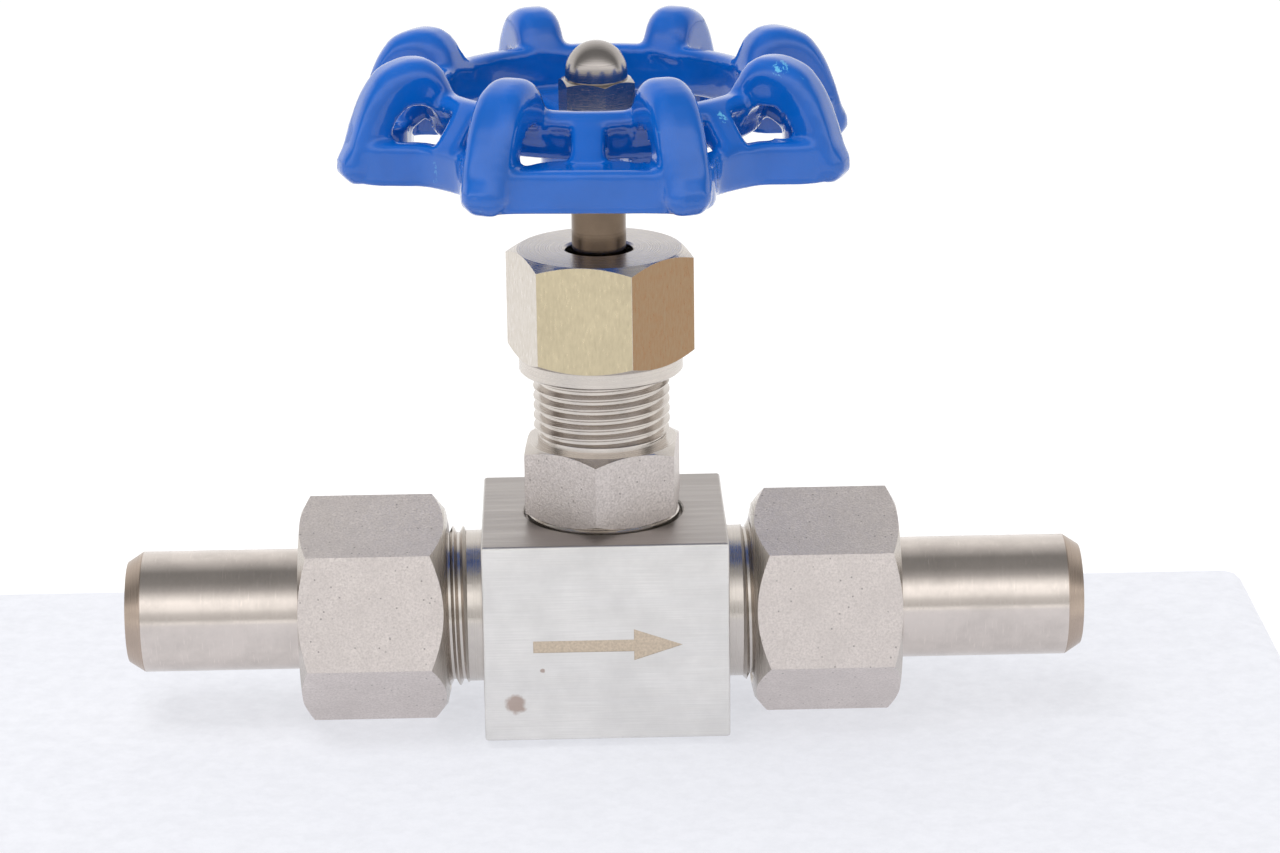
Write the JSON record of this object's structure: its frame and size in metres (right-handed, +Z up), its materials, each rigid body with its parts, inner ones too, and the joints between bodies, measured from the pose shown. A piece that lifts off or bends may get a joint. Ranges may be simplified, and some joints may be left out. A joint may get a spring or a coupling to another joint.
{
  "type": "needle valve",
  "caption": "Small needle valve with a block body, threaded bonnet, packing nut, arched blue handwheel, and a union nut with a weld nipple on each side.",
  "frame": {"origin": "middle of the valve block's flat underside", "axes": "+Z up along the stem, +X along the flow from the inlet nipple to the outlet nipple, -Y the block's marked face"},
  "size_m": [0.142, 0.0736, 0.1019],
  "materials": {
    "body_steel": "wire brushed stainless steel",
    "blasted_steel": "shot blasted stainless steel",
    "turned_steel": "fine turned stainless steel",
    "tarnished_steel": "turned and milled stainless steel, straw tarnish",
    "stem_steel": "ground steel, brown tarnish",
    "hard_steel": "ground hardened steel",
    "seal_metal": "soft annealed metal, dull",
    "polished_steel": "bright drawn and polished stainless steel",
    "graphite": "pressed expanded graphite",
    "blue_enamel": "glossy blue enamel on a casting"
  },
  "bodies": {
    "valve": {"valve_body": "body_steel", "bonnet": "blasted_steel", "bonnet_gasket": "seal_metal", "packing_washer": "turned_steel", "packing_ring_1": "graphite", "packing_ring_2": "graphite", "packing_ring_3": "graphite", "packing_ring_4": "graphite"},
    "needle": {"needle_tip": "hard_steel"},
    "spindle": {"stem": "stem_steel", "handwheel": "blue_enamel", "dome_nut": "polished_steel"},
    "gland": {"gland_follower": "turned_steel"},
    "gland_nut": {"packing_nut": "tarnished_steel"},
    "inlet_tail": {"weld_nipple_left": "polished_steel", "union_seal_left": "seal_metal"},
    "inlet_nut": {"union_nut_left": "blasted_steel"},
    "outlet_tail": {"weld_nipple_right": "polished_steel", "union_seal_right": "seal_metal"},
    "outlet_nut": {"union_nut_right": "blasted_steel"}
  },
  "joints": [
    {"name": "needle_lift", "type": "slide", "parent": "valve", "child": "needle", "axis": [0, 0, 1], "range_m": [-0.00294, 0.002]},
    {"name": "stem_turn", "type": "hinge", "parent": "needle", "child": "spindle", "pos_m": [0, 0, 0.0153], "axis": [0, 0, 1], "range_deg": [-1060, 721]},
    {"name": "gland_lift", "type": "slide", "parent": "valve", "child": "gland", "axis": [0, 0, 1], "range_m": [0, 0.0045]},
    {"name": "gland_nut_turn", "type": "hinge", "parent": "gland", "child": "gland_nut", "pos_m": [0, 0, 0.0153], "axis": [0, 0, 1], "range_deg": [0, 1081]},
    {"name": "inlet_tail_draw", "type": "slide", "parent": "valve", "child": "inlet_tail", "axis": [-1, 0, 0], "range_m": [0, 0.0105]},
    {"name": "inlet_nut_turn", "type": "hinge", "parent": "inlet_tail", "child": "inlet_nut", "pos_m": [0, 0, 0.0153], "axis": [-1, 0, 0], "range_deg": [0, 2522]},
    {"name": "outlet_tail_draw", "type": "slide", "parent": "valve", "child": "outlet_tail", "axis": [1, 0, 0], "range_m": [0, 0.012]},
    {"name": "outlet_nut_turn", "type": "hinge", "parent": "outlet_tail", "child": "outlet_nut", "pos_m": [0, 0, 0.0153], "axis": [1, 0, 0], "range_deg": [0, 2883]}
  ],
  "couplings": [
    {"joint": "stem_turn", "follows": "needle_lift", "rad_per_m": 6283.2},
    {"joint": "gland_nut_turn", "follows": "gland_lift", "rad_per_m": 4188.8},
    {"joint": "inlet_nut_turn", "follows": "inlet_tail_draw", "rad_per_m": 4188.8},
    {"joint": "outlet_nut_turn", "follows": "outlet_tail_draw", "rad_per_m": 4188.8}
  ]
}
